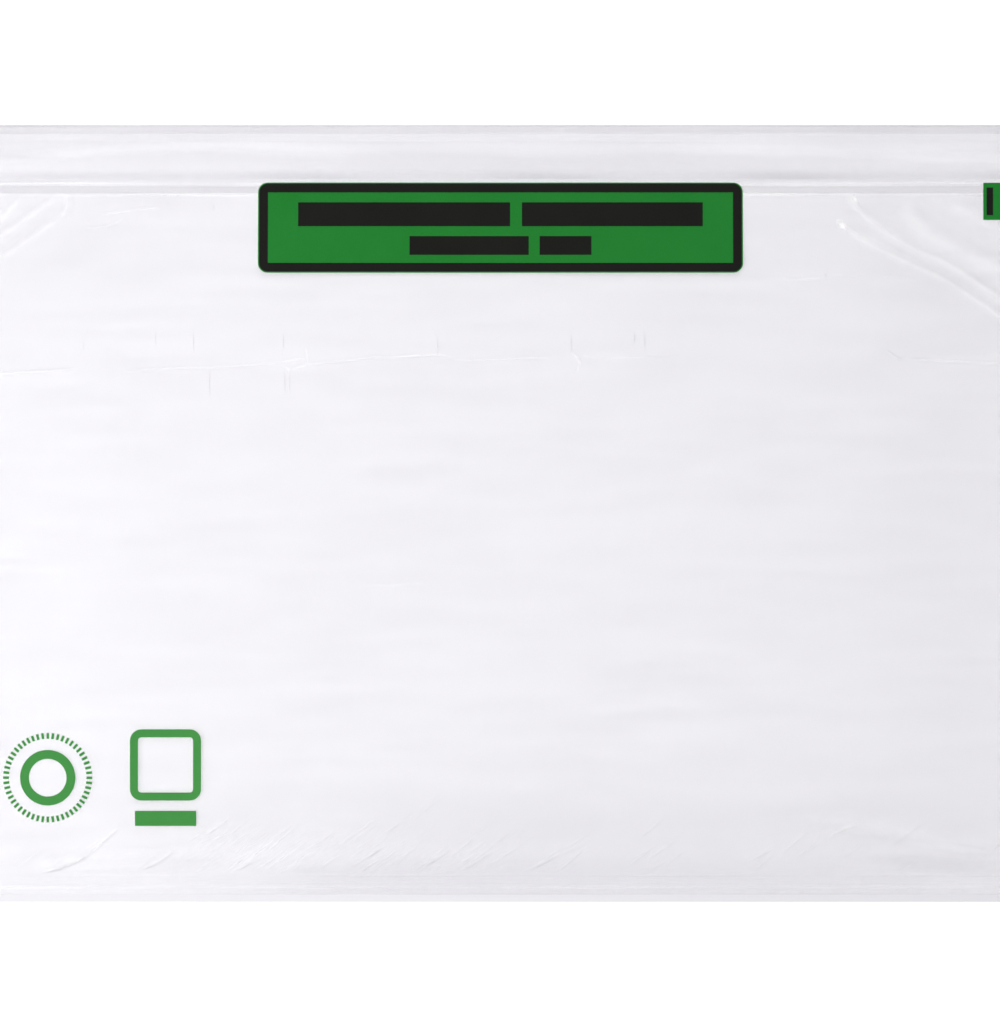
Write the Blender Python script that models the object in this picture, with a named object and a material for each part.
"""A self-adhesive packing list envelope, empty, lying flat with its printed front up.

Two clear films are heat sealed into a pocket that is loaded from behind, through a mouth near the
top edge. The back film carries the adhesive, and white release paper covers it until the envelope
is stuck down. Metres, +Z up. X runs along the long side, +Y towards the mouth, and the origin is
under the middle of the whole outline.
"""

import math
from collections import namedtuple

import bpy
from mathutils import Vector
from mathutils.geometry import delaunay_2d_cdt

# The sheets, cut together at the left and right edges
ENVELOPE_WIDTH = 0.225
FILM_HEIGHT = 0.1634
LINER_HEIGHT = 0.1631
FILM_OVERHANG = 0.0019  # the films reach past the liner along the top edge
FRONT_FILM_THICKNESS = 0.00005
BACK_FILM_THICKNESS = 0.00007  # with its coat of adhesive
LINER_THICKNESS = 0.00007

# The heat seals, and the mouth between the two pieces of back film
SIDE_SEAL_WIDTH = 0.005
TOP_SEAL_WIDTH = 0.0036
TUBE_HEIGHT = 0.0085  # loose film between the top seal and the mouth seal
MOUTH_SEAL_WIDTH = 0.0009
MOUTH_GAP = 0.0015
BOTTOM_SEAL_WIDTH = 0.0040
BEAD_HEIGHT = 0.00006  # the film stands up in a fine bead along each seal
BEAD_HALF_WIDTH = 0.0003

# How far the empty front film stands off the back film
POCKET_LOFT = 0.0007
POCKET_RISE = 0.012  # from a seal to the full loft
POCKET_WAVE = 0.18  # share of the loft that comes and goes in soft waves
POCKET_WAVE_LENGTH = 0.074
TUBE_LOFT = 0.0004
TUBE_WAVE = 0.3
TUBE_WAVE_LENGTH = 0.052

# The print
INK_THICKNESS = 0.00002
BANNER_DROP = 0.0125  # from the films' top edge
BANNER_BORDER = 0.00185
BANNER_CORNER = 0.0018
BANNER_FRINGE = 0.00025  # the green ground shows past the black border
BANNER_SIDE_PADDING = 0.0064
BANNER_TOP_PADDING = 0.0021
BANNER_BOTTOM_PADDING = 0.0017
BAR_ROW_GAP = 0.0021
UPPER_BAR_HEIGHT = 0.0051
UPPER_BAR_WIDTHS = (0.0450, 0.0384)
UPPER_BAR_GAP = 0.0025
LOWER_BAR_HEIGHT = 0.0040
LOWER_BAR_WIDTHS = (0.0253, 0.0110)
LOWER_BAR_GAP = 0.0023

TAG_DROP = 0.0123
TAG_EDGE_MARGIN = 0.0050  # from the envelope's right edge
TAG_WIDTH = 0.0050
TAG_BAR_WIDTH = 0.0014
TAG_BAR_INSET = 0.0007
TAG_BAR_END_MARGIN = 0.0010
TAG_BAR_LENGTH = 0.0059

ROUND_MARK_LEFT = 0.0069  # from the envelope's left edge
ROUND_MARK_BOTTOM = 0.0153  # from the films' bottom edge
ROUND_MARK_RADIUS = 0.0095
ROUND_MARK_LINE = 0.0010
ROUND_MARK_GAP = 0.0026
ROUND_MARK_CENTRE_LINE = 0.0019
SQUARE_MARK_SPACING = 0.0080
SQUARE_MARK_SIZE = 0.0151
SQUARE_MARK_LINE = 0.0017
SQUARE_MARK_CORNER = 0.0024
MARK_BAR_BOTTOM = 0.0146
MARK_BAR_WIDTH = 0.0130
MARK_BAR_HEIGHT = 0.0032
MARK_BAR_GAP = 0.0022

# Folds pressed into the front film: sharp ridges that fade out at both ends
CREASE_FADE = 0.3  # share of its length over which a crease fades, at each end
CREASE_CLEARANCE = 0.0012  # a crease grows from nothing over this distance from a seal

# How finely the front film is divided
FILM_STEP = 0.0095
RISE_STEPS = (0.0, 0.2, 0.4, 0.6, 0.8, 1.0)
TUBE_STEPS = (0.0, 0.2, 0.4, 0.6, 0.8, 1.0)
ARC_STEPS = 6
CIRCLE_STEPS = 48
MERGE_DISTANCE = 0.00002

# Edges that follow from the sizes above
RIGHT = ENVELOPE_WIDTH / 2
LEFT = -RIGHT
TOTAL_HEIGHT = max(FILM_HEIGHT, FILM_OVERHANG + LINER_HEIGHT)
FILM_TOP = TOTAL_HEIGHT / 2
FILM_BOTTOM = FILM_TOP - FILM_HEIGHT
LINER_TOP = FILM_TOP - FILM_OVERHANG
LINER_BOTTOM = LINER_TOP - LINER_HEIGHT
TUBE_TOP = FILM_TOP - TOP_SEAL_WIDTH
TUBE_BOTTOM = TUBE_TOP - TUBE_HEIGHT
STRIP_BOTTOM = TUBE_BOTTOM - MOUTH_SEAL_WIDTH
PANEL_TOP = STRIP_BOTTOM - MOUTH_GAP
POCKET_LEFT = LEFT + SIDE_SEAL_WIDTH
POCKET_RIGHT = RIGHT - SIDE_SEAL_WIDTH
POCKET_TOP = STRIP_BOTTOM
POCKET_BOTTOM = FILM_BOTTOM + BOTTOM_SEAL_WIDTH
SEAL_LEVEL = LINER_THICKNESS + BACK_FILM_THICKNESS

Crease = namedtuple("Crease", "points height half_width")


def corner_crease(side, height, half_width, *steps):
    """A crease near a top corner; steps are (distance from the side seal, drop from the mouth)."""
    edge = POCKET_LEFT if side < 0 else POCKET_RIGHT
    points = [Vector((edge - side * away, POCKET_TOP - drop)) for away, drop in steps]
    return Crease(points, height, half_width)


def seal_crease(start, run, rise, height, half_width):
    """A short crease that leans up and right from the bottom seal; start is from the left seal."""
    low = Vector((POCKET_LEFT + start, POCKET_BOTTOM))
    return Crease([low, low + Vector((run, rise))], height, half_width)


CREASES = (
    # The fan from the top right corner
    corner_crease(1, 0.00030, 0.0014, (0.0347, 0.0019), (0.0248, 0.0104), (0.0173, 0.0147), (0.0014, 0.0263)),
    corner_crease(1, 0.00024, 0.0012, (0.0354, 0.0076), (0.0226, 0.0161), (0.0014, 0.0292)),
    corner_crease(1, 0.00018, 0.0022, (0.0248, 0.0047), (0.0184, 0.0104), (0.0014, 0.0189)),
    corner_crease(1, 0.00012, 0.0018, (0.0110, 0.0040), (0.0014, 0.0093)),
    # Two soft folds at the top left corner
    corner_crease(-1, 0.00016, 0.0016, (0.0144, 0.0025), (0.0022, 0.0104)),
    corner_crease(-1, 0.00012, 0.0014, (0.0129, 0.0076), (0.0012, 0.0161)),
    # The fold that runs across the pocket, in two stretches
    corner_crease(
        -1, 0.00016, 0.0011, (0.0012, 0.0397), (0.0182, 0.0389), (0.0447, 0.0384), (0.0670, 0.0365), (0.1233, 0.0359)
    ),
    corner_crease(1, 0.00016, 0.0011, (0.0258, 0.0348), (0.0216, 0.0365), (0.0014, 0.0376)),
    corner_crease(-1, 0.00010, 0.0009, (0.0776, 0.0850), (0.0925, 0.0843)),
    # Where the film is drawn tight along the bottom seal
    seal_crease(0.0097, 0.0170, 0.0098, 0.00026, 0.0013),
    seal_crease(0.0309, 0.0085, 0.0049, 0.00014, 0.0010),
    seal_crease(0.0500, 0.0085, 0.0049, 0.00016, 0.0010),
    seal_crease(0.0745, 0.0076, 0.0049, 0.00014, 0.0010),
    seal_crease(0.0883, 0.0058, 0.0034, 0.00012, 0.0009),
    seal_crease(0.1004, 0.0070, 0.0038, 0.00014, 0.0010),
    seal_crease(0.1116, 0.0074, 0.0038, 0.00014, 0.0010),
    seal_crease(0.1340, 0.0072, 0.0068, 0.00014, 0.0010),
    seal_crease(0.1610, 0.0066, 0.0040, 0.00012, 0.0009),
    seal_crease(0.1840, 0.0137, 0.0084, 0.00020, 0.0012),
)

BEADS = (TUBE_TOP, TUBE_BOTTOM, STRIP_BOTTOM, POCKET_BOTTOM)


def clear_scene():
    for leftover in list(bpy.data.objects):
        bpy.data.objects.remove(leftover)


def finish(name, color, roughness, alpha=1.0):
    """A material with one even colour."""
    material = bpy.data.materials.new(name)
    material.use_nodes = True
    shader = material.node_tree.nodes["Principled BSDF"]
    shader.inputs["Base Color"].default_value = (*color, 1.0)
    shader.inputs["Roughness"].default_value = roughness
    shader.inputs["Metallic"].default_value = 0.0
    shader.inputs["Alpha"].default_value = alpha
    return material


def add_object(name, vertices, faces, material):
    mesh = bpy.data.meshes.new(name)
    mesh.from_pydata(vertices, [], faces)
    mesh.materials.append(material)
    piece = bpy.data.objects.new(name, mesh)
    bpy.context.scene.collection.objects.link(piece)
    return piece


def smooth_step(value):
    share = min(max(value, 0.0), 1.0)
    return share * share * (3 - 2 * share)


def pocket_depth(x, y):
    """The distance from a point to the nearest seal of the pocket, less than 0 on a seal."""
    return min(x - POCKET_LEFT, POCKET_RIGHT - x, y - POCKET_BOTTOM, POCKET_TOP - y)


def pocket_loft(x, y):
    """How far the pocket's film stands off: nothing on the seals, then a rise to a soft plateau."""
    if pocket_depth(x, y) <= 0:
        return 0.0
    across = smooth_step((x - POCKET_LEFT) / POCKET_RISE) * smooth_step((POCKET_RIGHT - x) / POCKET_RISE)
    along = smooth_step((y - POCKET_BOTTOM) / POCKET_RISE) * smooth_step((POCKET_TOP - y) / POCKET_RISE)
    turn = 2 * math.pi / POCKET_WAVE_LENGTH
    wave = math.sin(turn * (x + 0.4 * y)) * math.cos(turn * (0.7 * y - 0.3 * x))
    return POCKET_LOFT * across * along * (1 + POCKET_WAVE * wave)


def tube_loft(x, y):
    """How far the loose film above the mouth stands off, as a long low arch with waves along it."""
    share = (y - TUBE_BOTTOM) / TUBE_HEIGHT
    if not 0 < share < 1:
        return 0.0
    across = smooth_step((x - POCKET_LEFT) / TUBE_HEIGHT) * smooth_step((POCKET_RIGHT - x) / TUBE_HEIGHT)
    wave = math.sin(2 * math.pi * x / TUBE_WAVE_LENGTH + 2 * share)
    return TUBE_LOFT * across * math.sin(math.pi * share) * (1 + TUBE_WAVE * wave)


def nearest_on(points, place):
    """The distance from a place to a line of points, and the share of the line's length there."""
    total = sum((b - a).length for a, b in zip(points, points[1:]))
    best = (math.inf, 0.0)
    passed = 0.0
    for a, b in zip(points, points[1:]):
        along = b - a
        share = min(max((place - a).dot(along) / along.length_squared, 0.0), 1.0)
        best = min(best, ((a + share * along - place).length, (passed + share * along.length) / total))
        passed += along.length
    return best


def crease_height(x, y):
    """The ridges of all creases at a point, held down to nothing at the seals."""
    place = Vector((x, y))
    height = 0.0
    for crease in CREASES:
        distance, share = nearest_on(crease.points, place)
        if distance < crease.half_width:
            fade = min(1.0, share / CREASE_FADE, (1 - share) / CREASE_FADE)
            height = max(height, crease.height * fade * (1 - distance / crease.half_width))
    return height * min(max(pocket_depth(x, y) / CREASE_CLEARANCE, 0.0), 1.0)


def bead_height(y):
    nearest = min(abs(y - bead) for bead in BEADS)
    return BEAD_HEIGHT * max(0.0, 1 - nearest / BEAD_HALF_WIDTH)


def film_underside(x, y):
    """The height of the front film's underside above the surface that the envelope lies on."""
    return SEAL_LEVEL + pocket_loft(x, y) + tube_loft(x, y) + crease_height(x, y) + bead_height(y)


def box_outline(left, bottom, right, top):
    return [Vector(corner) for corner in ((left, bottom), (right, bottom), (right, top), (left, top))]


def rounded_outline(left, bottom, right, top, radius):
    """A box outline whose corners are arcs."""
    centres = (
        (right - radius, bottom + radius, -90),
        (right - radius, top - radius, 0),
        (left + radius, top - radius, 90),
        (left + radius, bottom + radius, 180),
    )
    outline = []
    for x, y, start in centres:
        for step in range(ARC_STEPS + 1):
            angle = math.radians(start + 90 * step / ARC_STEPS)
            outline.append(Vector((x + radius * math.cos(angle), y + radius * math.sin(angle))))
    return outline


def circle_outline(x, y, radius):
    turns = [2 * math.pi * step / CIRCLE_STEPS for step in range(CIRCLE_STEPS)]
    return [Vector((x + radius * math.cos(turn), y + radius * math.sin(turn))) for turn in turns]


def is_inside(outline, x, y):
    """Whether a point is inside a closed outline, by the sides that a line to the right crosses."""
    crossings = 0
    for a, b in zip(outline, outline[1:] + outline[:1]):
        if (a.y > y) != (b.y > y) and x < a.x + (y - a.y) / (b.y - a.y) * (b.x - a.x):
            crossings += 1
    return crossings % 2 == 1


Print = namedtuple("Print", "name outline hole layer material")


def bar_row(names, widths, gap, top, height, material):
    """A row of plain bars, centred on the banner."""
    bars = []
    left = -(sum(widths) + gap * (len(widths) - 1)) / 2
    for name, width in zip(names, widths):
        bars.append(Print(name, box_outline(left, top - height, left + width, top), None, 1, material))
        left += width + gap
    return bars


def banner_prints(green, black):
    """The green ground, its black border and the four bars, laid out from the bars outwards."""
    row_width = max(
        sum(UPPER_BAR_WIDTHS) + UPPER_BAR_GAP * (len(UPPER_BAR_WIDTHS) - 1),
        sum(LOWER_BAR_WIDTHS) + LOWER_BAR_GAP * (len(LOWER_BAR_WIDTHS) - 1),
    )
    right = row_width / 2 + BANNER_SIDE_PADDING
    top = FILM_TOP - BANNER_DROP - BANNER_BORDER
    upper_top = top - BANNER_TOP_PADDING
    lower_top = upper_top - UPPER_BAR_HEIGHT - BAR_ROW_GAP
    bottom = lower_top - LOWER_BAR_HEIGHT - BANNER_BOTTOM_PADDING
    field = (-right, bottom, right, top)

    def around(margin, radius):
        return rounded_outline(-right - margin, bottom - margin, right + margin, top + margin, radius)

    ground_outline = around(BANNER_BORDER + BANNER_FRINGE, BANNER_CORNER + BANNER_FRINGE)
    prints = [
        Print("banner_ground", ground_outline, None, 0, green),
        Print("banner_border", around(BANNER_BORDER, BANNER_CORNER), box_outline(*field), 1, black),
    ]
    upper = ("banner_bar_upper_left", "banner_bar_upper_right")
    lower = ("banner_bar_lower_left", "banner_bar_lower_right")
    prints += bar_row(upper, UPPER_BAR_WIDTHS, UPPER_BAR_GAP, upper_top, UPPER_BAR_HEIGHT, black)
    prints += bar_row(lower, LOWER_BAR_WIDTHS, LOWER_BAR_GAP, lower_top, LOWER_BAR_HEIGHT, black)
    return prints


def tag_prints(green, black):
    """The green tag by the right edge, with a plain upright bar."""
    right = RIGHT - TAG_EDGE_MARGIN
    left = right - TAG_WIDTH
    top = FILM_TOP - TAG_DROP
    bar_left = left + TAG_BAR_INSET
    bar_top = top - TAG_BAR_END_MARGIN
    bar_bottom = bar_top - TAG_BAR_LENGTH
    tag = box_outline(left, bar_bottom - TAG_BAR_END_MARGIN, right, top)
    bar = box_outline(bar_left, bar_bottom, bar_left + TAG_BAR_WIDTH, bar_top)
    return [Print("edge_tag", tag, None, 0, green), Print("edge_tag_bar", bar, None, 1, black)]


def mark_prints(green):
    """The two small marks at the lower left: rings, and a square frame over a bar."""
    ring_x = LEFT + ROUND_MARK_LEFT + ROUND_MARK_RADIUS
    ring_y = FILM_BOTTOM + ROUND_MARK_BOTTOM + ROUND_MARK_RADIUS
    ring_inner = ROUND_MARK_RADIUS - ROUND_MARK_LINE
    centre_outer = ring_inner - ROUND_MARK_GAP
    centre_inner = centre_outer - ROUND_MARK_CENTRE_LINE
    square_left = ring_x + ROUND_MARK_RADIUS + SQUARE_MARK_SPACING
    square_right = square_left + SQUARE_MARK_SIZE
    bar_bottom = FILM_BOTTOM + MARK_BAR_BOTTOM
    bar_top = bar_bottom + MARK_BAR_HEIGHT
    square_bottom = bar_top + MARK_BAR_GAP
    square_top = square_bottom + SQUARE_MARK_SIZE
    bar_left = (square_left + square_right - MARK_BAR_WIDTH) / 2
    square = rounded_outline(square_left, square_bottom, square_right, square_top, SQUARE_MARK_CORNER)
    square_hole = rounded_outline(
        square_left + SQUARE_MARK_LINE,
        square_bottom + SQUARE_MARK_LINE,
        square_right - SQUARE_MARK_LINE,
        square_top - SQUARE_MARK_LINE,
        max(SQUARE_MARK_CORNER - SQUARE_MARK_LINE, MERGE_DISTANCE * 10),
    )
    ring = circle_outline(ring_x, ring_y, ROUND_MARK_RADIUS)
    ring_hole = circle_outline(ring_x, ring_y, ring_inner)
    centre = circle_outline(ring_x, ring_y, centre_outer)
    centre_hole = circle_outline(ring_x, ring_y, centre_inner)
    bar = box_outline(bar_left, bar_bottom, bar_left + MARK_BAR_WIDTH, bar_top)
    return [
        Print("round_mark_ring", ring, ring_hole, 0, green),
        Print("round_mark_centre", centre, centre_hole, 0, green),
        Print("square_mark_frame", square, square_hole, 0, green),
        Print("square_mark_bar", bar, None, 0, green),
    ]


def evenly(low, high):
    """Places from low to high, about one film step apart."""
    count = max(1, round((high - low) / FILM_STEP))
    return [low + (high - low) * step / count for step in range(count + 1)]


class FilmPlan:
    """The front film seen from above: points, and the lines that its triangles must follow."""

    def __init__(self):
        self.points = []
        self.edges = []

    def add_line(self, points, closed=False):
        first = len(self.points)
        self.points.extend(points)
        last = len(self.points) - 1
        self.edges.extend((index, index + 1) for index in range(first, last))
        if closed:
            self.edges.append((last, first))

    def add_across(self, y, left=LEFT, right=RIGHT):
        self.add_line([Vector((x, y)) for x in evenly(left, right)])

    def add_ring(self, left, bottom, right, top):
        across = evenly(left, right)
        along = evenly(bottom, top)
        lower = [Vector((x, bottom)) for x in across[:-1]]
        rightmost = [Vector((right, y)) for y in along[:-1]]
        upper = [Vector((x, top)) for x in reversed(across[1:])]
        leftmost = [Vector((left, y)) for y in reversed(along[1:])]
        self.add_line(lower + rightmost + upper + leftmost, closed=True)

    def add_crease(self, crease):
        """The ridge, and the line on each side of it where the film is flat again."""
        points = crease.points
        self.add_line(points)
        for side in (1, -1):
            flank = [points[0]]
            for before, here, after in zip(points, points[1:], points[2:] + points[-1:]):
                if here is points[-1]:
                    break
                direction = (after - before).normalized()
                flank.append(here + side * crease.half_width * Vector((-direction.y, direction.x)))
            if len(points) == 2:
                direction = (points[1] - points[0]).normalized()
                middle = (points[0] + points[1]) / 2
                flank.append(middle + side * crease.half_width * Vector((-direction.y, direction.x)))
            flank.append(points[-1])
            self.add_line(flank)

    def triangles(self):
        return delaunay_2d_cdt(self.points, self.edges, [], 0, MERGE_DISTANCE)


def plan_front_film(prints):
    plan = FilmPlan()
    plan.add_ring(LEFT, FILM_BOTTOM, RIGHT, FILM_TOP)
    for bead in BEADS:
        for offset in (-BEAD_HALF_WIDTH, 0.0, BEAD_HALF_WIDTH):
            plan.add_across(bead + offset)
    for share in TUBE_STEPS[1:-1]:
        plan.add_across(TUBE_BOTTOM + share * TUBE_HEIGHT, POCKET_LEFT, POCKET_RIGHT)
    for edge, side in ((POCKET_LEFT, 1), (POCKET_RIGHT, -1)):
        for share in TUBE_STEPS:
            x = edge + side * share * TUBE_HEIGHT
            plan.add_line([Vector((x, TUBE_BOTTOM)), Vector((x, TUBE_TOP))])
    for share in RISE_STEPS:
        inset = share * POCKET_RISE
        plan.add_ring(POCKET_LEFT + inset, POCKET_BOTTOM + inset, POCKET_RIGHT - inset, POCKET_TOP - inset)
    for x in evenly(POCKET_LEFT + POCKET_RISE, POCKET_RIGHT - POCKET_RISE)[1:-1]:
        for y in evenly(POCKET_BOTTOM + POCKET_RISE, POCKET_TOP - POCKET_RISE)[1:-1]:
            plan.points.append(Vector((x, y)))
    for crease in CREASES:
        plan.add_crease(crease)
    for ink in prints:
        plan.add_line(ink.outline, closed=True)
        if ink.hole:
            plan.add_line(ink.hole, closed=True)
    return plan


def add_layer(name, places, triangles, bottom, thickness, material):
    """A thin solid that follows the film: the same triangles twice, and a wall round their rim."""
    used = sorted({index for triangle in triangles for index in triangle})
    renumbered = {index: number for number, index in enumerate(used)}
    lower = [(places[index].x, places[index].y, bottom[index]) for index in used]
    upper = [(x, y, z + thickness) for x, y, z in lower]
    top = [tuple(renumbered[index] + len(used) for index in triangle) for triangle in triangles]
    underside = [tuple(renumbered[index] for index in reversed(triangle)) for triangle in triangles]
    sides = {(a, b) for triangle in triangles for a, b in zip(triangle, triangle[1:] + triangle[:1])}
    rim = [(a, b) for a, b in sorted(sides) if (b, a) not in sides]
    walls = []
    for a, b in rim:
        low_a, low_b = renumbered[a], renumbered[b]
        walls.append((low_a, low_b, low_b + len(used), low_a + len(used)))
    return add_object(name, lower + upper, top + underside + walls, material)


def add_sheet(name, bottom, top, level, thickness, material):
    """A flat rectangle of film or paper across the envelope's whole width."""
    corners = ((LEFT, bottom), (RIGHT, bottom), (RIGHT, top), (LEFT, top))
    vertices = [(x, y, z) for z in (level, level + thickness) for x, y in corners]
    faces = [(3, 2, 1, 0), (4, 5, 6, 7), (0, 1, 5, 4), (1, 2, 6, 5), (2, 3, 7, 6), (3, 0, 4, 7)]
    return add_object(name, vertices, faces, material)


def build_front(film, prints):
    """The front film and the print on it, which share one set of triangles and so fit exactly."""
    places, _, triangles, *_ = plan_front_film(prints).triangles()
    underside = [film_underside(place.x, place.y) for place in places]
    pieces = [add_layer("front_film", places, triangles, underside, FRONT_FILM_THICKNESS, film)]
    for ink in prints:
        covered = []
        for triangle in triangles:
            x = sum(places[index].x for index in triangle) / 3
            y = sum(places[index].y for index in triangle) / 3
            if is_inside(ink.outline, x, y) and not (ink.hole and is_inside(ink.hole, x, y)):
                covered.append(triangle)
        lift = FRONT_FILM_THICKNESS + ink.layer * INK_THICKNESS
        printed = [height + lift for height in underside]
        pieces.append(add_layer(ink.name, places, covered, printed, INK_THICKNESS, ink.material))
    return pieces


def build_back(coated_film, paper):
    """The two pieces of coated back film, either side of the mouth, and the release paper on each."""
    film_level = LINER_THICKNESS
    return [
        add_sheet("liner_strip", STRIP_BOTTOM, LINER_TOP, 0.0, LINER_THICKNESS, paper),
        add_sheet("liner_panel", LINER_BOTTOM, PANEL_TOP, 0.0, LINER_THICKNESS, paper),
        add_sheet("back_strip", STRIP_BOTTOM, FILM_TOP, film_level, BACK_FILM_THICKNESS, coated_film),
        add_sheet("back_panel", FILM_BOTTOM, PANEL_TOP, film_level, BACK_FILM_THICKNESS, coated_film),
    ]


def main():
    clear_scene()
    clear_film = finish("clear_film", (0.90, 0.89, 0.94), 0.18, alpha=0.35)
    coated_film = finish("coated_film", (0.90, 0.89, 0.93), 0.35, alpha=0.45)
    release_paper = finish("release_paper", (0.90, 0.90, 0.91), 0.55)
    green_ink = finish("green_ink", (0.018, 0.230, 0.034), 0.30)
    black_ink = finish("black_ink", (0.016, 0.017, 0.015), 0.30)
    mark_ink = finish("mark_ink", (0.080, 0.330, 0.085), 0.35)
    prints = banner_prints(green_ink, black_ink) + tag_prints(green_ink, black_ink) + mark_prints(mark_ink)
    envelope = bpy.data.objects.new("envelope", None)
    bpy.context.scene.collection.objects.link(envelope)
    for piece in build_back(coated_film, release_paper) + build_front(clear_film, prints):
        piece.parent = envelope


main()
